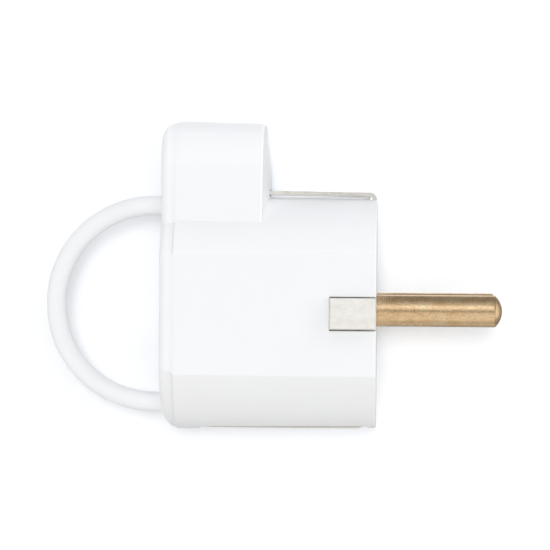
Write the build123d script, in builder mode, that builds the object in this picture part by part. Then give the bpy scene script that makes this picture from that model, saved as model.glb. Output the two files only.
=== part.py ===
from build123d import *
import os
from math import asin, cos, sin

# Two-pole earthed plug with a side cord entry block and a pull ring. Millimetres.
# Frame: the origin is the middle of the plug's face, between the pins.
# +X runs along the pins to their tips, +Y to the cord entry, Z from pin to pin.

# ---------------------------------------------------------------- dimensions
PIN_D = 4.8            # contact pins
PIN_LEN = 19.0         # from the face to the tip
PIN_Z = 9.5            # half the pin spacing
PIN_DOME = 1.05        # height of the domed tip

BODY_Y0 = -0.5         # the round body sits a little below the pins
BODY_R = 17.745        # round body at the face
BODY_DRAFT = 0.0091    # it widens by this much per mm towards the back
FLAT_Z = 15.085        # half the width over the two flat sides at the face
FLAT_DRAFT = 0.0130    # and their draft
X_BACK = -32.64        # back of the rear cover
X_SEAM = -30.7         # joint between shell and rear cover
COVER_R = 17.75        # round part of the rear cover, a step lower than the shell
BORE_R = 15.55         # bore of the shell, round part
BORE_FLAT = 13.25      # and its two flat sides
SADDLE = 0.15          # depth of the shallow step on top of the body

NECK_Z = 11.5          # half the width of the cord entry block
NECK_TOP_BACK = 28.61  # its top at the back
NECK_TOP_FRONT = 28.29 # its top at the front
NECK_FRONT_LOW = -17.36   # its front wall at the foot
NECK_FRONT_TOP = -17.17   # its front wall at the top
NECK_CORNER = 7.0      # rounding of its two top corners
NECK_IN_Z = 9.4
NECK_IN_TOP = 25.9
NECK_IN_X = -19.4
BACK_ROUND = 1.0       # rounding of the back edges
FACE_ROUND = 0.3       # broken edge round the face
SHELL_BREAK = 0.2      # broken rear edge of the shell's round part

ENTRY_X = -24.5        # cord hole in the top of the block
ENTRY_R = 4.3
BUSH_BORE_R = 3.6
BUSH_FLANGE_R = 4.95

INSERT_T = 8.0         # cream insert
FIT = 0.1              # play between the insert and the shell
LUG_X0, LUG_X1 = -7.0, -0.13
LUG_Y0, LUG_H = -0.39, 4.7
LUG_Z = 16.6           # the lugs stand proud of the flat sides
SLOT_X0 = -7.05
SLOT_LOW, SLOT_HIGH = -3.0, 2.15

COLLAR_R, COLLAR_T = 3.15, 3.0  # collar of a pin, let into the insert
SHOULDER_R, SHOULDER_END = 2.8, -0.12
STEM_R, STEM_END = 2.8, -22.0   # rear stem of a pin
KEEPER_T = 2.5
COLUMN_R = 3.6

STRAP_T = 0.65         # earth strip
STRAP_W = 7.0
BASE_X = -26.9         # back face of its bridge
BED_Y = 17.22          # top of the rib under its upper arm
EARTH_Y = 9.5          # earth terminal on the bridge

SCREW_R = 1.98         # long middle screw
SCREW_TIP = -31.0
BOSS_R = 5.0
INSERT_R = 3.2

RING_R = 15.1          # pull ring, middle line
RING_WIRE = 3.0
RING_X, RING_Y = -34.24, 0.61

CLAMP_Y, CLAMP_Z = 21.5, 7.0    # cord grip screws
CLAMP_BOSS_R = 1.9
CLAMP_BACK = -26.2

x_ledge = -INSERT_T
body_axis = Axis((0, BODY_Y0, 0), (1, 0, 0))


def radius_at(x):
    return BODY_R - BODY_DRAFT * x


def flat_at(x):
    return FLAT_Z - FLAT_DRAFT * x


os.makedirs("parts", exist_ok=True)

# ------------------------------------------------- outer form of the casing
# bulge over the cord grip on the block's front wall: flat arc seen from above,
# slow curve seen from the side
with BuildPart() as bulge:
    with BuildSketch(Plane.XZ.offset(-15)):
        with BuildLine():
            Line((-18.5, -7.8), (-17.3, -7.8))
            ThreePointArc((-17.3, -7.8), (-16.25, 0), (-17.3, 7.8))
            Line((-17.3, 7.8), (-18.5, 7.8))
            Line((-18.5, 7.8), (-18.5, -7.8))
        make_face()
    extrude(amount=-12)
    with BuildSketch(Plane.XY.offset(-9)):
        with BuildLine():
            Polyline((-17.22, 26.7), (-18.6, 26.7), (-18.6, 14), (-16.25, 14), (-16.25, 17.5))
            Spline(
                (-16.25, 17.5), (-16.26, 19.0), (-16.32, 20.3), (-16.42, 21.2), (-16.56, 22.1),
                (-16.69, 22.95), (-16.83, 23.8), (-16.98, 24.8), (-17.1, 25.8), (-17.22, 26.7),
                tangents=((0, 1), (-0.13, 1)),
            )
        make_face()
    extrude(amount=18, mode=Mode.INTERSECT)

# side outline of the back: round corners at the bottom and at the top of the block
with BuildPart() as back_form:
    with BuildSketch(Plane.XY.offset(-20)):
        with BuildLine():
            ThreePointArc((X_BACK, -11.5), (-32.55, -13.85), (-32.2, -16.25))
            ThreePointArc((-32.2, -16.25), (-31.72, -17.34), (-30.95, -18.3))
            Polyline((-30.95, -18.3), (-30.5, -19), (-10, -19), (-10, 30), (-28.4, 28.62))
            Spline(
                (-28.4, 28.62), (-29.6, 28.53), (-30.47, 28.33), (-31.2, 28.0), (-31.82, 27.6),
                (-32.25, 27.1), (-32.5, 26.4), (-32.61, 25.4), (X_BACK, 24.0),
                tangents=((-1, -0.05), (0, -1)),
            )
            Line((X_BACK, 24.0), (X_BACK, -11.5))
        make_face()
    extrude(amount=40)

# cord entry block, its foot sunk in the round body
with BuildPart() as block:
    with BuildSketch(Plane.XY.offset(-NECK_Z)):
        with BuildLine():
            Polyline(
                (X_BACK, 4),
                (X_BACK, NECK_TOP_BACK),
                (NECK_FRONT_TOP, NECK_TOP_FRONT),
                (NECK_FRONT_LOW, 13),
                (NECK_FRONT_LOW - 0.2, 4),
                close=True,
            )
        make_face()
    extrude(amount=2 * NECK_Z)
    fillet(
        block.edges().filter_by(lambda e: e.center().Y > 28 and abs(e.center().Z) > NECK_Z - 0.1
                                and abs(e.tangent_at(0.5).X) > 0.9),
        radius=NECK_CORNER,
    )
    # broken edges of its front wall
    fillet(
        block.edges().filter_by(lambda e: e.center().Y > 14 and e.center().X > -17.5
                                and e.bounding_box().size.X < 1),
        radius=0.4,
    )

# the round top in front of the block is a shade lower, as wide as the block
with BuildPart() as saddle:
    with BuildSketch(Plane.XY):
        with BuildLine():
            Polyline(
                (-20, BODY_Y0 + radius_at(-20) - SADDLE), (1, BODY_Y0 + radius_at(1) - SADDLE),
                (1, 24), (-20, 24), close=True,
            )
        make_face()
    revolve(axis=body_axis)
    with Locations((-9.5, 19, 0)):
        Box(23, 26, 2 * NECK_Z, mode=Mode.INTERSECT)

# --------------------------------------------------------------- white shell
with BuildPart() as housing:
    # drafted round body with two drafted flat sides
    with BuildSketch(Plane.XY):
        with BuildLine():
            Polyline(
                (X_SEAM, BODY_Y0), (X_SEAM, BODY_Y0 + radius_at(X_SEAM)),
                (0, BODY_Y0 + radius_at(0)), (0, BODY_Y0), close=True,
            )
        make_face()
    revolve(axis=body_axis)
    with BuildSketch(Plane.XZ.offset(30)):
        with BuildLine():
            Polyline(
                (X_SEAM - 1, -flat_at(X_SEAM - 1)), (X_SEAM - 1, flat_at(X_SEAM - 1)),
                (1, flat_at(1)), (1, -flat_at(1)), close=True,
            )
        make_face()
    extrude(amount=-60, mode=Mode.INTERSECT)
    fillet(
        housing.edges().filter_by(lambda e: abs(e.center().Z) > 14 and abs(e.tangent_at(0.5).X) > 0.9),
        radius=0.5,
    )
    fillet(housing.faces().sort_by(Axis.X)[-1].outer_wire().edges(), radius=FACE_ROUND)
    # broken rear edge, on the round part only
    with BuildSketch(Plane.XY):
        with BuildLine():
            Polyline(
                (X_SEAM - 0.1, BODY_Y0 + radius_at(X_SEAM) - SHELL_BREAK - 0.1),
                (X_SEAM + SHELL_BREAK + 0.1, BODY_Y0 + radius_at(X_SEAM) + 0.1),
                (X_SEAM - 0.1, BODY_Y0 + radius_at(X_SEAM) + 0.1), close=True,
            )
        make_face()
    revolve(axis=body_axis, mode=Mode.SUBTRACT)
    add(saddle.part, mode=Mode.SUBTRACT)
    # rib under the upper earth arm
    with BuildSketch(Plane.YZ.offset(-20)):
        with Locations(((BED_Y + 14) / 2, 0)):
            Rectangle(BED_Y - 14, 5.7)
    extrude(amount=20)
    with BuildPart() as block_front:
        add(block.part)
        add(back_form.part, mode=Mode.INTERSECT)
        split(bisect_by=Plane.YZ.offset(X_SEAM), keep=Keep.TOP)
    add(block_front.part)
    add(bulge.part)
    # front bore for the insert
    with BuildSketch(Plane.YZ.offset(x_ledge)):
        with Locations((BODY_Y0, 0)):
            Circle(BORE_R)
            Rectangle(4 * BODY_R, 2 * BORE_FLAT, mode=Mode.INTERSECT)
    extrude(amount=INSERT_T, mode=Mode.SUBTRACT)
    # ledge that the insert rests on
    with BuildSketch(Plane.YZ.offset(x_ledge - KEEPER_T)):
        with Locations((BODY_Y0, 0)):
            Circle(BORE_R - 1.65)
            Rectangle(4 * BODY_R, 2 * BORE_FLAT, mode=Mode.INTERSECT)
    extrude(amount=KEEPER_T, mode=Mode.SUBTRACT)
    # wiring space
    with BuildSketch(Plane.YZ.offset(X_SEAM)):
        with Locations((BODY_Y0, 0)):
            Circle(BORE_R)
            Rectangle(4 * BODY_R, 2 * BORE_FLAT, mode=Mode.INTERSECT)
    extrude(amount=x_ledge - KEEPER_T - X_SEAM, mode=Mode.SUBTRACT)
    # room for the snap heads of the ring
    with BuildSketch(Plane.YZ.offset(X_SEAM)):
        with Locations((RING_Y + RING_R, 0), (RING_Y - RING_R, 0)):
            Circle(RING_WIRE / 2 + 0.4)
    extrude(amount=1.3, mode=Mode.SUBTRACT)
    # hollow of the block, open to the wiring space
    with BuildSketch(Plane.YZ.offset(X_SEAM)):
        with Locations(((NECK_IN_TOP + 8) / 2, 0)):
            Rectangle(NECK_IN_TOP - 8, 2 * NECK_IN_Z)
        fillet(vertices().group_by(Axis.X)[-1], radius=5)
    extrude(amount=NECK_IN_X - X_SEAM, mode=Mode.SUBTRACT)
    # cord hole
    with BuildSketch(Plane.XZ.offset(-24)):
        with Locations((ENTRY_X, 0)):
            Circle(ENTRY_R)
    extrude(amount=-6, mode=Mode.SUBTRACT)
    # slots of the two lugs, open at the face
    with BuildSketch(Plane.XY.offset(-20)):
        with Locations(((SLOT_X0 + 1) / 2, (SLOT_LOW + SLOT_HIGH) / 2)):
            Rectangle(1 - SLOT_X0, SLOT_HIGH - SLOT_LOW)
    extrude(amount=40, mode=Mode.SUBTRACT)
    # opening for the upper earth arm in the block's front wall
    with BuildSketch(Plane.YZ.offset(-20)):
        with Locations((17.72, 0)):
            Rectangle(1.0, STRAP_W + 0.2)
    extrude(amount=5, mode=Mode.SUBTRACT)
    # notch for the turned-down end of the upper arm
    with BuildSketch(Plane.YZ.offset(-1.15)):
        with Locations((16.0, 0)):
            Rectangle(3.0, STRAP_W + 0.2)
    extrude(amount=2, mode=Mode.SUBTRACT)
    # window for the lower arm
    with BuildSketch(Plane.XZ.offset(15.4)):
        with Locations(((-27.3 - 1.3) / 2, 0)):
            RectangleRounded(26.0, 8.0, 0.8)
    extrude(amount=4, mode=Mode.SUBTRACT)
    # bosses of the cord grip
    with BuildSketch(Plane.YZ.offset(CLAMP_BACK)):
        with Locations((CLAMP_Y, CLAMP_Z), (CLAMP_Y, -CLAMP_Z)):
            Circle(CLAMP_BOSS_R)
    extrude(amount=NECK_IN_X - CLAMP_BACK + 0.2)
    with BuildSketch(Plane.YZ.offset(CLAMP_BACK)):
        with Locations((CLAMP_Y, CLAMP_Z), (CLAMP_Y, -CLAMP_Z)):
            Circle(1.25)
    extrude(amount=6.5, mode=Mode.SUBTRACT)
housing.part.label = "housing"

# ---------------------------------------------------------------- rear cover
with BuildPart() as rear_cover:
    with BuildSketch(Plane.YZ.offset(X_BACK)):
        with Locations((BODY_Y0, 0)):
            Circle(COVER_R)
            Rectangle(4 * BODY_R, 2 * flat_at(X_SEAM), mode=Mode.INTERSECT)
    extrude(amount=8)
    fillet(rear_cover.edges().filter_by(Axis.X), radius=0.5)
    add(block.part)
    fillet(rear_cover.faces().sort_by(Axis.X)[0].outer_wire().edges(), radius=BACK_ROUND)
    add(back_form.part, mode=Mode.INTERSECT)
    split(bisect_by=Plane.YZ.offset(X_SEAM), keep=Keep.BOTTOM)
    # rim that centres it in the shell
    with BuildSketch(Plane.YZ.offset(X_SEAM)):
        with Locations((BODY_Y0, 0)):
            Circle(BORE_R - FIT)
            Rectangle(4 * BODY_R, 2 * (BORE_FLAT - FIT), mode=Mode.INTERSECT)
        with BuildSketch(mode=Mode.ADD):
            with Locations(((NECK_IN_TOP + 8) / 2, 0)):
                Rectangle(NECK_IN_TOP - 8 - 0.2, 2 * (NECK_IN_Z - FIT))
            fillet(vertices().group_by(Axis.X)[-1], radius=4.9)
        offset(amount=-1.3, mode=Mode.SUBTRACT)
    extrude(amount=1.2)
    # boss of the threaded insert
    with BuildSketch(Plane.YZ.offset(X_SEAM)):
        Circle(BOSS_R)
    extrude(amount=BASE_X - X_SEAM)
    with BuildSketch(Plane.YZ.offset(-31.9)):
        Circle(INSERT_R)
    extrude(amount=31.9 + BASE_X, mode=Mode.SUBTRACT)
    # sockets of the ring's two ends
    with BuildSketch(Plane.YZ.offset(X_BACK)):
        with Locations((RING_Y + RING_R, 0), (RING_Y - RING_R, 0)):
            Circle(RING_WIRE / 2 + 0.02)
    extrude(amount=5, mode=Mode.SUBTRACT)
    with BuildSketch(Plane.YZ.offset(X_SEAM)):
        with Locations((RING_Y + RING_R, 0), (RING_Y - RING_R, 0)):
            Circle(RING_WIRE / 2 + 0.35)
    extrude(amount=5, mode=Mode.SUBTRACT)
rear_cover.part.label = "rear_cover"

# ----------------------------------------------------------------- pull ring
with BuildPart() as pull_ring:
    with BuildLine(Plane.XY):
        Line((X_SEAM, RING_Y + RING_R), (RING_X, RING_Y + RING_R))
        ThreePointArc(
            (RING_X, RING_Y + RING_R), (RING_X - RING_R, RING_Y), (RING_X, RING_Y - RING_R)
        )
        Line((RING_X, RING_Y - RING_R), (X_SEAM, RING_Y - RING_R))
    with BuildSketch(Plane((X_SEAM, RING_Y + RING_R, 0), x_dir=(0, 1, 0), z_dir=(-1, 0, 0))):
        Circle(RING_WIRE / 2)
    sweep()
    # snap heads behind the cover
    with BuildSketch(Plane.YZ.offset(X_SEAM)):
        with Locations((RING_Y + RING_R, 0), (RING_Y - RING_R, 0)):
            Circle(RING_WIRE / 2 + 0.25)
    extrude(amount=1.1)
    chamfer(pull_ring.faces().sort_by(Axis.X)[-2:].edges(), length=0.35)
pull_ring.part.label = "pull_ring"

# -------------------------------------------------------------- cream insert
with BuildPart() as contact_carrier:
    with BuildSketch(Plane.YZ.offset(x_ledge)):
        with Locations((BODY_Y0, 0)):
            Circle(BORE_R - FIT)
            Rectangle(4 * BODY_R, 2 * (BORE_FLAT - FIT), mode=Mode.INTERSECT)
    extrude(amount=INSERT_T)
    # lugs through the shell's slots
    with BuildSketch(Plane.XY.offset(-LUG_Z)):
        with Locations(((LUG_X0 + LUG_X1) / 2, LUG_Y0)):
            Rectangle(LUG_X1 - LUG_X0, LUG_H)
    extrude(amount=2 * LUG_Z)
    fillet(
        contact_carrier.faces().filter_by(Axis.Z).group_by(Axis.Z)[0].edges()
        + contact_carrier.faces().filter_by(Axis.Z).group_by(Axis.Z)[-1].edges(),
        radius=0.3,
    )
    # pin holes, with a recess for each collar
    with BuildSketch(Plane.YZ.offset(x_ledge)):
        with Locations((0, PIN_Z), (0, -PIN_Z)):
            Circle(SHOULDER_R + 0.02)
    extrude(amount=INSERT_T, mode=Mode.SUBTRACT)
    with BuildSketch(Plane.YZ.offset(x_ledge)):
        with Locations((0, PIN_Z), (0, -PIN_Z)):
            Circle(COLLAR_R + 0.03)
    extrude(amount=COLLAR_T, mode=Mode.SUBTRACT)
    # countersunk hole of the middle screw
    with Locations(Plane((0, 0, 0), x_dir=(0, 1, 0), z_dir=(1, 0, 0))):
        CounterSinkHole(radius=2.15, counter_sink_radius=3.96, depth=INSERT_T, counter_sink_angle=90)
    # notch for the turned-down end of the upper earth arm
    with BuildSketch(Plane.YZ.offset(-0.85)):
        with Locations((15.4, 0)):
            Rectangle(1.5, STRAP_W + 0.2)
    extrude(amount=2, mode=Mode.SUBTRACT)
    # slot for the turned-in end of the lower arm
    with BuildSketch(Plane.XZ.offset(14.2)):
        with Locations((-2.1, 0)):
            Rectangle(0.95, STRAP_W + 0.2)
    extrude(amount=3, mode=Mode.SUBTRACT)
contact_carrier.part.label = "contact_carrier"

# ---------------------------------------- plate and column behind the insert
with BuildPart() as pin_keeper_plate:
    with BuildSketch(Plane.YZ.offset(x_ledge - KEEPER_T)):
        with Locations((BODY_Y0, 0)):
            Circle(BORE_R - 1.75)
            Rectangle(4 * BODY_R, 2 * (BORE_FLAT - FIT), mode=Mode.INTERSECT)
        with Locations((0, PIN_Z), (0, -PIN_Z)):
            Circle(STEM_R + 0.05, mode=Mode.SUBTRACT)
    extrude(amount=KEEPER_T)
    with BuildSketch(Plane.YZ.offset(BASE_X + STRAP_T)):
        Circle(COLUMN_R)
    extrude(amount=x_ledge - KEEPER_T - BASE_X - STRAP_T)
    with BuildSketch(Plane.YZ.offset(BASE_X)):
        Circle(2.15)
    extrude(amount=30, mode=Mode.SUBTRACT)
    # ribs that brace the column against the plate, above and below
    with BuildSketch(Plane.XY.offset(-0.8)):
        with BuildLine():
            Polyline((x_ledge - KEEPER_T, 3), (x_ledge - KEEPER_T, 9), (-18, 3), close=True)
        make_face()
        mirror(about=Plane.XZ)
    extrude(amount=1.6)
pin_keeper_plate.part.label = "pin_keeper_plate"

# -------------------------------------------------------------- contact pins
dome_r = (PIN_D**2 / 4 + PIN_DOME**2) / (2 * PIN_DOME)
half_open = asin(PIN_D / 2 / dome_r) / 2
dome_mid = (PIN_LEN - dome_r + dome_r * cos(half_open), dome_r * sin(half_open))


def pin_outline():
    Polyline(
        (PIN_LEN, 0),
        (STEM_END, 0),
        (STEM_END, STEM_R),
        (x_ledge, STEM_R),
        (x_ledge, COLLAR_R),
        (x_ledge + COLLAR_T, COLLAR_R),
        (x_ledge + COLLAR_T, SHOULDER_R),
        (SHOULDER_END, SHOULDER_R),
        (SHOULDER_END, PIN_D / 2),
        (PIN_LEN - PIN_DOME, PIN_D / 2),
    )
    ThreePointArc((PIN_LEN - PIN_DOME, PIN_D / 2), dome_mid, (PIN_LEN, 0))


with BuildPart() as contact_pin_a:
    with BuildSketch(Plane.XY.offset(PIN_Z)):
        with BuildLine():
            pin_outline()
        make_face()
        fillet(vertices().sort_by_distance((PIN_LEN - PIN_DOME, PIN_D / 2))[0], radius=0.35)
    revolve(axis=Axis((0, 0, PIN_Z), (1, 0, 0)))
    with BuildSketch(Plane.YZ.offset(STEM_END)):
        with Locations((0, PIN_Z)):
            Circle(1.5)
    extrude(amount=8, mode=Mode.SUBTRACT)
contact_pin_a.part.label = "contact_pin_a"

with BuildPart() as contact_pin_b:
    add(contact_pin_a.part.mirror(Plane.XY))
contact_pin_b.part.label = "contact_pin_b"

# ------------------------------------------- wire clamping washers and screws
with BuildPart() as pin_terminal_saddle_a:
    with BuildSketch(Plane.YZ.offset(STEM_END - 1.0)):
        with Locations((0, PIN_Z)):
            RectangleRounded(7.0, 7.0, 0.8)
            Circle(1.6, mode=Mode.SUBTRACT)
    extrude(amount=1.0)
    # turned-down edges that hold the strands
    with BuildSketch(Plane.YZ.offset(STEM_END)):
        with Locations((3.15, PIN_Z), (-3.15, PIN_Z)):
            Rectangle(0.7, 5.0)
    extrude(amount=0.9)
pin_terminal_saddle_a.part.label = "pin_terminal_saddle_a"

with BuildPart() as pin_terminal_saddle_b:
    add(pin_terminal_saddle_a.part.mirror(Plane.XY))
pin_terminal_saddle_b.part.label = "pin_terminal_saddle_b"

with BuildPart() as pin_terminal_screw_a:
    with BuildSketch(Plane.XY.offset(PIN_Z)):
        with BuildLine():
            Polyline((-25.0, 0), (-25.0, 2.9), (-23.0, 2.9), (-23.0, 1.46), (-15.2, 1.46), (-14.8, 1.0), (-14.8, 0), close=True)
        make_face()
        fillet(vertices().sort_by_distance((-25.0, 2.9))[0], radius=0.6)
    revolve(axis=Axis((0, 0, PIN_Z), (1, 0, 0)))
    with BuildSketch(Plane.YZ.offset(-26)):
        with Locations((0, PIN_Z)):
            Rectangle(7, 0.8)
    extrude(amount=2.1, mode=Mode.SUBTRACT)
pin_terminal_screw_a.part.label = "pin_terminal_screw_a"

with BuildPart() as pin_terminal_screw_b:
    add(pin_terminal_screw_a.part.mirror(Plane.XY))
pin_terminal_screw_b.part.label = "pin_terminal_screw_b"

# --------------------------------------------------------------- earth strip
base_mid = BASE_X + STRAP_T / 2
with BuildPart() as earth_strap:
    with BuildSketch(Plane.XY.offset(-STRAP_W / 2)):
        with BuildLine():
            FilletPolyline(
                (-0.45, 14.75),
                (-0.45, 17.55),
                (-15.0, 17.74),
                (base_mid, 17.84),
                (base_mid, -17.84),
                (-14.0, -17.9),
                (-2.1, -17.86),
                (-2.1, -14.45),
                radius=(0.6, 20, 1.0, 1.0, 20, 0.8),
            )
        trace(line_width=STRAP_T)
    extrude(amount=STRAP_W)
    # holes of the middle screw and of the earth terminal
    with BuildSketch(Plane.YZ.offset(BASE_X - 1)):
        Circle(2.15)
        with Locations((EARTH_Y, 0)):
            Circle(1.5)
    extrude(amount=3, mode=Mode.SUBTRACT)
earth_strap.part.label = "earth_strap"

with BuildPart() as earth_terminal_saddle:
    with BuildSketch(Plane.YZ.offset(BASE_X - 1.0)):
        with Locations((EARTH_Y, 0)):
            RectangleRounded(7.0, 7.0, 0.8)
            Circle(1.6, mode=Mode.SUBTRACT)
    extrude(amount=1.0)
earth_terminal_saddle.part.label = "earth_terminal_saddle"

with BuildPart() as earth_terminal_screw:
    with BuildSketch(Plane.XY):
        with BuildLine():
            Polyline(
                (-29.9, EARTH_Y), (-29.9, EARTH_Y + 2.9), (-27.9, EARTH_Y + 2.9), (-27.9, EARTH_Y + 1.46),
                (-21.6, EARTH_Y + 1.46), (-21.2, EARTH_Y + 1.0), (-21.2, EARTH_Y), close=True,
            )
        make_face()
        fillet(vertices().sort_by_distance((-29.9, EARTH_Y + 2.9))[0], radius=0.6)
    revolve(axis=Axis((0, EARTH_Y, 0), (1, 0, 0)))
    with BuildSketch(Plane.YZ.offset(-31)):
        with Locations((EARTH_Y, 0)):
            Rectangle(7, 0.8)
    extrude(amount=2.1, mode=Mode.SUBTRACT)
earth_terminal_screw.part.label = "earth_terminal_screw"

# ------------------------------------------- long middle screw and its insert
with BuildPart() as assembly_screw:
    with BuildSketch(Plane.XY):
        with BuildLine():
            Polyline(
                (-0.05, 0), (-0.05, 3.8), (-0.15, 3.8), (-0.15 - 3.8 + SCREW_R, SCREW_R),
                (SCREW_TIP + 0.5, SCREW_R), (SCREW_TIP, SCREW_R - 0.5), (SCREW_TIP, 0), close=True,
            )
        make_face()
    revolve(axis=Axis.X)
    with BuildSketch(Plane.YZ.offset(-1.15)):
        Rectangle(9, 1.0)
    extrude(amount=2, mode=Mode.SUBTRACT)
assembly_screw.part.label = "assembly_screw"

with BuildPart() as assembly_insert:
    with BuildSketch(Plane.YZ.offset(-31.9)):
        Circle(INSERT_R)
        Circle(2.02, mode=Mode.SUBTRACT)
    extrude(amount=31.9 + BASE_X)
    # groove that locks it in the moulding
    with BuildSketch(Plane.YZ.offset(-29.8)):
        Circle(INSERT_R + 1)
        Circle(INSERT_R - 0.35, mode=Mode.SUBTRACT)
    extrude(amount=0.8, mode=Mode.SUBTRACT)
assembly_insert.part.label = "assembly_insert"

# ------------------------------------------------------ cord grip in the block
with BuildPart() as cord_clamp_bar:
    with BuildSketch(Plane.YZ.offset(CLAMP_BACK - 2.0)):
        with Locations((CLAMP_Y, 0)):
            RectangleRounded(3.8, 17.8, 1.6)
        with Locations((CLAMP_Y, CLAMP_Z), (CLAMP_Y, -CLAMP_Z)):
            Circle(1.35, mode=Mode.SUBTRACT)
    extrude(amount=2.0)
    # hollow that takes the cord
    with BuildSketch(Plane.XZ.offset(-18)):
        with Locations((CLAMP_BACK + 5.2, 0)):
            Circle(6.2)
    extrude(amount=-8, mode=Mode.SUBTRACT)
cord_clamp_bar.part.label = "cord_clamp_bar"

with BuildPart() as cord_clamp_screw_a:
    with BuildSketch(Plane.XY.offset(CLAMP_Z)):
        with BuildLine():
            Polyline(
                (-29.4, CLAMP_Y), (-29.4, CLAMP_Y + 2.2), (-28.2, CLAMP_Y + 2.2), (-28.2, CLAMP_Y + 1.2),
                (-21.5, CLAMP_Y + 1.2), (-20.6, CLAMP_Y + 0.4), (-20.6, CLAMP_Y), close=True,
            )
        make_face()
        fillet(vertices().sort_by_distance((-29.4, CLAMP_Y + 2.2))[0], radius=0.5)
    revolve(axis=Axis((0, CLAMP_Y, CLAMP_Z), (1, 0, 0)))
    with BuildSketch(Plane.YZ.offset(-30)):
        with Locations((CLAMP_Y, CLAMP_Z)):
            Rectangle(3.0, 0.6)
            Rectangle(0.6, 3.0)
    extrude(amount=1.3, mode=Mode.SUBTRACT)
cord_clamp_screw_a.part.label = "cord_clamp_screw_a"

with BuildPart() as cord_clamp_screw_b:
    add(cord_clamp_screw_a.part.mirror(Plane.XY))
cord_clamp_screw_b.part.label = "cord_clamp_screw_b"

# ------------------------------------------------------- grommet in the hole
with BuildPart() as cord_entry_bush:
    with BuildSketch(Plane.XY):
        with BuildLine():
            Polyline(
                (ENTRY_X + BUSH_BORE_R, 24.9), (ENTRY_X + BUSH_FLANGE_R, 24.9),
                (ENTRY_X + BUSH_FLANGE_R, 25.88), (ENTRY_X + ENTRY_R - 0.02, 25.88),
                (ENTRY_X + ENTRY_R - 0.02, 28.3), (ENTRY_X + BUSH_BORE_R, 28.3), close=True,
            )
        make_face()
    revolve(axis=Axis((ENTRY_X, 0, 0), (0, 1, 0)))
cord_entry_bush.part.label = "cord_entry_bush"

for piece in (
    housing, rear_cover, pull_ring, contact_carrier, pin_keeper_plate, contact_pin_a, contact_pin_b,
    pin_terminal_saddle_a, pin_terminal_saddle_b, pin_terminal_screw_a, pin_terminal_screw_b,
    earth_strap, earth_terminal_saddle, earth_terminal_screw, assembly_screw, assembly_insert,
    cord_clamp_bar, cord_clamp_screw_a, cord_clamp_screw_b, cord_entry_bush,
):
    export_step(piece.part, f"parts/{piece.part.label}.step")
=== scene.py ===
import math
import bpy
from mathutils import Matrix, Vector


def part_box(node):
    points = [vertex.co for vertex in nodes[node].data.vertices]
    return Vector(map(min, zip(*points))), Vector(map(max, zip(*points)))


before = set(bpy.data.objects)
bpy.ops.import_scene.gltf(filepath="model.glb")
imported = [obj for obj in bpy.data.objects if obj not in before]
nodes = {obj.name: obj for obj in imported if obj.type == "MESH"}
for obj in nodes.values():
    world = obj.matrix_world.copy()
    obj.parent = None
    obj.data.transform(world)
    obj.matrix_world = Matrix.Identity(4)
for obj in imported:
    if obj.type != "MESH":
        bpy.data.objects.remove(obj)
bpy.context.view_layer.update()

scene = bpy.context.scene


def link(obj):
    scene.collection.objects.link(obj)
    return obj


# ------------------------------------------------------------------- camera
# looks down on the plug as it lies on its flat side, leaning a little to the pins
target = Vector((-0.01569, 0.00513, 0.0))
toward = Vector((math.sin(math.radians(1.8)), math.sin(math.radians(0.8)), 1.0)).normalized()
eye = target + toward * (0.600 / toward.z)
back = toward
level_right = Vector((0, 1, 0)).cross(back).normalized()
level_up = back.cross(level_right).normalized()
roll = math.radians(0.42)
right = level_right * math.cos(roll) + level_up * math.sin(roll)
up = level_up * math.cos(roll) - level_right * math.sin(roll)
cam_data = bpy.data.cameras.new("camera")
cam_data.sensor_width = 36.0
cam_data.lens = 255.3
cam_data.clip_start = 0.01
cam_data.clip_end = 20.0
cam = link(bpy.data.objects.new("camera", cam_data))
cam.matrix_world = Matrix((
    (right.x, up.x, back.x, eye.x),
    (right.y, up.y, back.y, eye.y),
    (right.z, up.z, back.z, eye.z),
    (0, 0, 0, 1),
))
scene.camera = cam
scene.view_settings.view_transform = "Standard"
scene.view_settings.look = "None"
scene.view_settings.exposure = 0.0
scene.view_settings.gamma = 1.0


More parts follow.
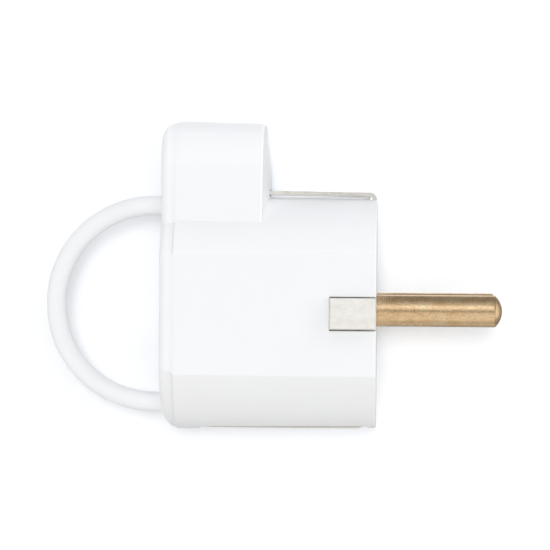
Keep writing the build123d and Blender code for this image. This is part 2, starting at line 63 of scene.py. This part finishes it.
# -------------------------------------------------------------- node helpers
class Mat:
    """A node material: add() makes a node, values on its inputs, links from sockets."""

    def __init__(self, name):
        self.mat = bpy.data.materials.new(name)
        self.mat.use_nodes = True
        self.tree = self.mat.node_tree
        self.tree.nodes.clear()
        self.out = self.tree.nodes.new("ShaderNodeOutputMaterial")

    def add(self, kind, inputs=None, **props):
        n = self.tree.nodes.new(kind)
        for k, v in props.items():
            setattr(n, k, v)
        for k, v in (inputs or {}).items():
            s = n.inputs[k]
            if isinstance(v, bpy.types.NodeSocket):
                self.tree.links.new(v, s)
            else:
                s.default_value = v
        return n

    def coords(self):
        if not hasattr(self, "_co"):
            self._co = self.add("ShaderNodeTexCoord").outputs["Object"]
        return self._co

    def place(self, scale=(1, 1, 1), shift=(0, 0, 0), turn=(0, 0, 0), of=None):
        m = self.add("ShaderNodeMapping", {"Vector": of or self.coords(), "Scale": scale,
                                           "Location": shift, "Rotation": turn})
        return m.outputs[0]

    def noise(self, vec, scale, detail=3.0, rough=0.5, distort=0.0):
        return self.add("ShaderNodeTexNoise", {"Vector": vec, "Scale": scale, "Detail": detail,
                                               "Roughness": rough, "Distortion": distort}).outputs["Fac"]

    def ramp(self, fac, stops, interpolation="LINEAR"):
        r = self.add("ShaderNodeValToRGB", {"Fac": fac})
        r.color_ramp.interpolation = interpolation
        els = r.color_ramp.elements
        while len(els) > 1:
            els.remove(els[-1])
        els[0].position, els[0].color = stops[0][0], grey(stops[0][1])
        for p, c in stops[1:]:
            e = els.new(p)
            e.color = grey(c)
        return r.outputs["Color"]

    def math(self, op, a, b=0.0, c=0.0, clamp=False):
        n = self.add("ShaderNodeMath", operation=op, use_clamp=clamp)
        for i, v in enumerate((a, b, c)):
            if isinstance(v, bpy.types.NodeSocket):
                self.tree.links.new(v, n.inputs[i])
            else:
                n.inputs[i].default_value = v
        return n.outputs[0]

    def mix(self, fac, a, b, blend="MIX"):
        n = self.add("ShaderNodeMix", data_type="RGBA", blend_type=blend)
        for s, v in ((n.inputs[0], fac), (n.inputs[6], a), (n.inputs[7], b)):
            if isinstance(v, bpy.types.NodeSocket):
                self.tree.links.new(v, s)
            else:
                s.default_value = grey(v) if s.type == "RGBA" else v
        return n.outputs[2]

    def bump(self, height, strength, distance, normal=None):
        i = {"Height": height, "Strength": strength, "Distance": distance}
        if normal is not None:
            i["Normal"] = normal
        return self.add("ShaderNodeBump", i).outputs["Normal"]

    def surface(self, **inputs):
        names = {k.replace("_", " "): v for k, v in inputs.items()}
        p = self.add("ShaderNodeBsdfPrincipled", names)
        self.tree.links.new(p.outputs[0], self.out.inputs["Surface"])
        return p


def grey(v):
    if isinstance(v, (int, float)):
        return (v, v, v, 1.0)
    return tuple(v) + (1.0,) if len(v) == 3 else tuple(v)


MM = 1000.0     # noise scales are given per millimetre


# ----------------------------------------------------------------- materials
def white_plastic(name, tint=(0.832, 0.840, 0.852), seed=0.0):
    m = Mat(name)
    co = m.place(shift=(seed, seed * 0.7, seed * 1.3))
    cloud = m.noise(co, 0.045 * MM, 3, 0.55)
    fine = m.noise(co, 2.2 * MM, 2, 0.6)
    grain = m.noise(co, 7.0 * MM, 2, 0.5)
    # thin handling scuffs that run mostly along the body
    sc = m.noise(m.place(scale=(0.25, 3.2, 3.2), shift=(seed, 0, 0), turn=(0, 0, 0.35)), 0.9 * MM, 2, 0.6)
    scuff = m.ramp(sc, [(0.0, 0.0), (0.66, 0.0), (0.72, 1.0), (1.0, 1.0)])
    tone = m.ramp(cloud, [(0.3, tuple(c * 0.993 for c in tint)), (0.7, tuple(min(1, c * 1.006) for c in tint))])
    tone = m.mix(m.math("MULTIPLY", scuff, 0.05), tone, tuple(c * 0.9 for c in tint))
    rough = m.math("ADD", m.math("MULTIPLY", fine, 0.10), 0.31)
    rough = m.math("ADD", rough, m.math("MULTIPLY", scuff, 0.08))
    n1 = m.bump(cloud, 0.10, 0.0006)
    n2 = m.bump(fine, 0.05, 0.00005, n1)
    n3 = m.bump(grain, 0.06, 0.00002, n2)
    m.surface(Base_Color=tone, Roughness=rough, IOR=1.49, Specular_IOR_Level=0.5,
              Subsurface_Weight=0.15, Subsurface_Radius=(1.0, 0.95, 0.9), Subsurface_Scale=0.0008, Normal=n3)
    return m.mat


def cream_insert(name):
    m = Mat(name)
    co = m.coords()
    mott = m.noise(co, 0.9 * MM, 4, 0.65)
    speck = m.noise(co, 4.5 * MM, 2, 0.7)
    tone = m.ramp(mott, [(0.30, (0.68, 0.655, 0.61)), (0.50, (0.74, 0.72, 0.68)), (0.72, (0.775, 0.76, 0.725))])
    dark = m.ramp(speck, [(0.0, 1.0), (0.33, 1.0), (0.40, 0.0), (1.0, 0.0)])
    tone = m.mix(m.math("MULTIPLY", dark, 0.22), tone, (0.50, 0.46, 0.40))
    rough = m.math("ADD", m.math("MULTIPLY", mott, 0.2), 0.45)
    n1 = m.bump(mott, 0.12, 0.0001)
    n2 = m.bump(speck, 0.10, 0.00003, n1)
    m.surface(Base_Color=tone, Roughness=rough, IOR=1.5, Normal=n2)
    return m.mat


def worn_brass(name):
    m = Mat(name)
    # turned metal: fine rings round the axis, clearer near the face, smeared streaks along it
    along = m.noise(m.place(scale=(0.30, 1.6, 1.6)), 1.9 * MM, 4, 0.65)
    patch = m.noise(m.place(scale=(0.7, 1.0, 1.0)), 0.8 * MM, 4, 0.6, 0.4)
    mottle = m.noise(m.place(scale=(0.8, 1.0, 1.0)), 3.6 * MM, 4, 0.75)
    rings = m.noise(m.place(scale=(1.0, 0.02, 0.02)), 6.0 * MM, 3, 0.7)
    pits = m.noise(m.coords(), 3.6 * MM, 3, 0.7)
    sep = m.add("ShaderNodeSeparateXYZ", {"Vector": m.coords()})
    base_end = m.add("ShaderNodeMapRange", {"Value": sep.outputs["X"], "From Min": 0.0032, "From Max": 0.0010,
                                            "To Min": 0.0, "To Max": 1.0}).outputs[0]
    tone = m.ramp(patch, [(0.30, (0.80, 0.55, 0.30)), (0.48, (0.90, 0.65, 0.38)), (0.70, (0.95, 0.74, 0.48))])
    tone = m.mix(m.math("MULTIPLY", m.ramp(along, [(0.0, 1.0), (0.38, 1.0), (0.50, 0.0), (1.0, 0.0)]), 0.20),
                 tone, (0.64, 0.42, 0.22))
    tone = m.mix(m.math("MULTIPLY", m.ramp(mottle, [(0.0, 1.0), (0.38, 1.0), (0.47, 0.0), (1.0, 0.0)]), 0.34),
                 tone, (0.40, 0.25, 0.13))
    tone = m.mix(m.math("MULTIPLY", m.ramp(pits, [(0.0, 1.0), (0.30, 1.0), (0.36, 0.0), (1.0, 0.0)]), 0.6),
                 tone, (0.24, 0.13, 0.06))
    rough = m.math("ADD", m.math("MULTIPLY", patch, -0.08), 0.24)
    rough = m.math("ADD", rough, m.math("MULTIPLY", mottle, 0.10))
    n1 = m.bump(rings, m.math("ADD", m.math("MULTIPLY", base_end, 0.8), 0.12), 0.00003)
    n2 = m.bump(mottle, 0.70, 0.00003, n1)
    n3 = m.bump(pits, 0.30, 0.00002, n2)
    m.surface(Base_Color=tone, Metallic=1.0, Roughness=rough, Normal=n3)
    return m.mat


def plated_strip(name):
    m = Mat(name)
    # rolled sheet: long brush lines
    brush = m.noise(m.place(scale=(0.10, 2.0, 1.0)), 4.0 * MM, 3, 0.6)
    stain = m.noise(m.coords(), 0.6 * MM, 4, 0.6)
    tone = m.ramp(brush, [(0.3, (0.76, 0.72, 0.65)), (0.5, (0.87, 0.85, 0.80)), (0.7, (0.93, 0.91, 0.87))])
    tone = m.mix(m.ramp(stain, [(0.45, 0.0), (0.75, 0.35)]), tone, (0.60, 0.52, 0.42))
    rough = m.math("ADD", m.math("MULTIPLY", brush, 0.2), 0.38)
    n1 = m.bump(brush, 0.25, 0.00003)
    m.surface(Base_Color=tone, Metallic=0.7, Roughness=rough, Normal=n1)
    return m.mat


def plated_screw(name, low=(0.52, 0.51, 0.49), high=(0.74, 0.74, 0.73)):
    m = Mat(name)
    mott = m.noise(m.coords(), 1.2 * MM, 4, 0.6)
    fine = m.noise(m.coords(), 9.0 * MM, 2, 0.6)
    tone = m.ramp(mott, [(0.3, low), (0.7, high)])
    rough = m.math("ADD", m.math("MULTIPLY", mott, 0.2), 0.25)
    n1 = m.bump(fine, 0.15, 0.00002)
    m.surface(Base_Color=tone, Metallic=1.0, Roughness=rough, Normal=n1)
    return m.mat


def soft_bush(name):
    m = Mat(name)
    mott = m.noise(m.coords(), 1.4 * MM, 4, 0.6)
    tone = m.ramp(mott, [(0.3, (0.52, 0.52, 0.51)), (0.7, (0.60, 0.60, 0.59))])
    rough = m.math("ADD", m.math("MULTIPLY", mott, 0.2), 0.5)
    n1 = m.bump(mott, 0.2, 0.0001)
    m.surface(Base_Color=tone, Roughness=rough, Normal=n1)
    return m.mat


shell_mat = white_plastic("shell_white", (0.815, 0.822, 0.833))
cover_mat = white_plastic("cover_white", (0.815, 0.822, 0.833), 3.1)
ring_mat = white_plastic("ring_white", seed=7.7)
insert_mat = cream_insert("insert_cream")
brass_mat = worn_brass("pin_brass")
strip_mat = plated_strip("strip_plated")
screw_mat = plated_screw("screw_plated")
nut_mat = plated_screw("nut_brass", (0.52, 0.36, 0.16), (0.76, 0.58, 0.32))
bush_mat = soft_bush("bush_soft")

finish_of = {
    "housing": shell_mat, "rear_cover": cover_mat, "pull_ring": ring_mat,
    "contact_carrier": insert_mat, "pin_keeper_plate": insert_mat, "cord_clamp_bar": insert_mat,
    "contact_pin_a": brass_mat, "contact_pin_b": brass_mat,
    "earth_strap": strip_mat, "assembly_insert": nut_mat, "cord_entry_bush": bush_mat,
}
for name, obj in nodes.items():
    mat = finish_of.get(name, screw_mat)
    if not obj.material_slots:
        obj.data.materials.append(mat)
    for s in obj.material_slots:
        s.material = mat

# --------------------------------------------------------------------- floor
# the plug rests on its lug's rear edge and on the back edge of its flat side, so the floor
# leans by a few degrees under it
lug_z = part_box("contact_carrier")[0].z
rear_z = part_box("rear_cover")[0].z
lug_x, rear_x = -0.0067, -0.0317
slope = (lug_z - rear_z) / (lug_x - rear_x)
floor_mesh = bpy.data.meshes.new("floor")
h = 1.5
corners = [(-h, -h), (h, -h), (h, h), (-h, h)]
floor_mesh.from_pydata([(x, y, lug_z - 0.00001 + slope * (x - lug_x)) for x, y in corners], [], [(0, 1, 2, 3)])
floor = link(bpy.data.objects.new("floor", floor_mesh))
fm = Mat("floor_pale")
floor_shader = fm.surface(Base_Color=(0.94, 0.953, 0.975, 1.0), Roughness=0.9, Specular_IOR_Level=0.0,
                          Emission_Color=(1.0, 1.0, 1.0, 1.0), Emission_Strength=0.0)
floor_mesh.materials.append(fm.mat)
floor.visible_glossy = False


# -------------------------------------------------------------------- lights
def dome(bright, bands):
    """Soft surrounding light: a base level, and soft round patches (direction, half angle in
    degrees, edge in degrees, added level, tint)."""
    world = bpy.data.worlds.new("surround")
    scene.world = world
    world.use_nodes = True
    t = world.node_tree
    t.nodes.clear()
    out = t.nodes.new("ShaderNodeOutputWorld")
    bg = t.nodes.new("ShaderNodeBackground")
    t.links.new(bg.outputs[0], out.inputs[0])
    co = t.nodes.new("ShaderNodeTexCoord").outputs["Generated"]
    total = None
    for direction, half, edge, level, tint in bands:
        d = Vector(direction).normalized()
        dot = t.nodes.new("ShaderNodeVectorMath")
        dot.operation = "DOT_PRODUCT"
        t.links.new(co, dot.inputs[0])
        dot.inputs[1].default_value = d
        rng = t.nodes.new("ShaderNodeMapRange")
        rng.interpolation_type = "SMOOTHSTEP"
        t.links.new(dot.outputs["Value"], rng.inputs["Value"])
        rng.inputs["From Min"].default_value = math.cos(math.radians(half + edge))
        rng.inputs["From Max"].default_value = math.cos(math.radians(max(half - edge, 0.0)))
        rng.inputs["To Min"].default_value = 0.0
        rng.inputs["To Max"].default_value = level
        col = t.nodes.new("ShaderNodeVectorMath")
        col.operation = "SCALE"
        col.inputs[0].default_value = tint
        t.links.new(rng.outputs["Result"], col.inputs["Scale"])
        if total is None:
            base = t.nodes.new("ShaderNodeVectorMath")
            base.operation = "ADD"
            base.inputs[0].default_value = (bright, bright, bright)
            t.links.new(col.outputs[0], base.inputs[1])
            total = base.outputs[0]
        else:
            add = t.nodes.new("ShaderNodeVectorMath")
            add.operation = "ADD"
            t.links.new(total, add.inputs[0])
            t.links.new(col.outputs[0], add.inputs[1])
            total = add.outputs[0]
    t.links.new(total, bg.inputs["Color"])
    bg.inputs["Strength"].default_value = 1.0


def lean(to_x, to_y):
    """Direction that leans by so many degrees from overhead towards +X and +Y."""
    return Vector((math.tan(math.radians(to_x)), math.tan(math.radians(to_y)), 1.0)).normalized()


# a lamp on each long side with a gap between them overhead, a wide one past the pins' tips,
# and below the horizon the table as polished metal shows it
surround = [
    (lean(0, 24), 15, 8, 0.84, (0.97, 0.99, 1.02)),
    (lean(0, 46), 17, 14, 0.30, (1.0, 1.0, 1.0)),
    (lean(0, -40), 34, 9, 0.50, (1.04, 0.99, 0.93)),
    (lean(0, 2), 4, 2, -0.30, (1.0, 1.0, 1.0)),
    (Vector((0, -1.0, -0.10)), 22, 12, 0.26, (1.02, 0.96, 0.88)),
    (Vector((0, -0.7, -0.75)), 24, 14, 0.14, (1.0, 0.98, 0.95)),
    (Vector((0, 0.30, -0.95)), 19, 8, 0.90, (1.0, 1.0, 1.0)),
    (Vector((1.0, 0.0, 0.10)), 34, 14, 0.68, (1.0, 1.0, 1.0)),
]
dome(0.27, surround)

# soft lights: degrees from overhead, bearing from +X towards +Y, angular size, strength
soft_lights = [
    (6.5, 92, 7, 0.119),
    (3, 60, 6, 0.107),
    (5.5, 90, 11, 0.058),
    (14, 0, 14, 0.049),
    (14, 60, 14, 0.027),
    (14, 240, 14, 0.020),
    (27, 270, 18, 0.025),
    (42, 0, 20, 0.065),
    (58, 90, 22, 0.090),
    (58, 270, 22, 0.015),
    (70, 5, 12, 0.053),
    (75, 45, 22, 0.165),
    (75, 135, 22, 0.045),
    (75, 180, 22, 0.165),
    (75, 225, 22, 0.055),
    (75, 270, 22, 0.020),
]
for i, (off, bearing, size, strength) in enumerate(soft_lights):
    data = bpy.data.lights.new("soft_light_%02d" % i, "SUN")
    data.angle = math.radians(size)
    data.energy = math.pi * strength
    data.color = (1.0, 0.98, 0.945) if 200 < bearing < 300 and off > 20 else (0.988, 1.0, 1.014)
    lamp = link(bpy.data.objects.new("soft_light_%02d" % i, data))
    t, q = math.radians(off), math.radians(bearing)
    way = Vector((math.sin(t) * math.cos(q), math.sin(t) * math.sin(q), math.cos(t)))
    lamp.rotation_mode = "QUATERNION"
    lamp.rotation_quaternion = way.to_track_quat("Z", "Y")
    lamp.visible_glossy = False
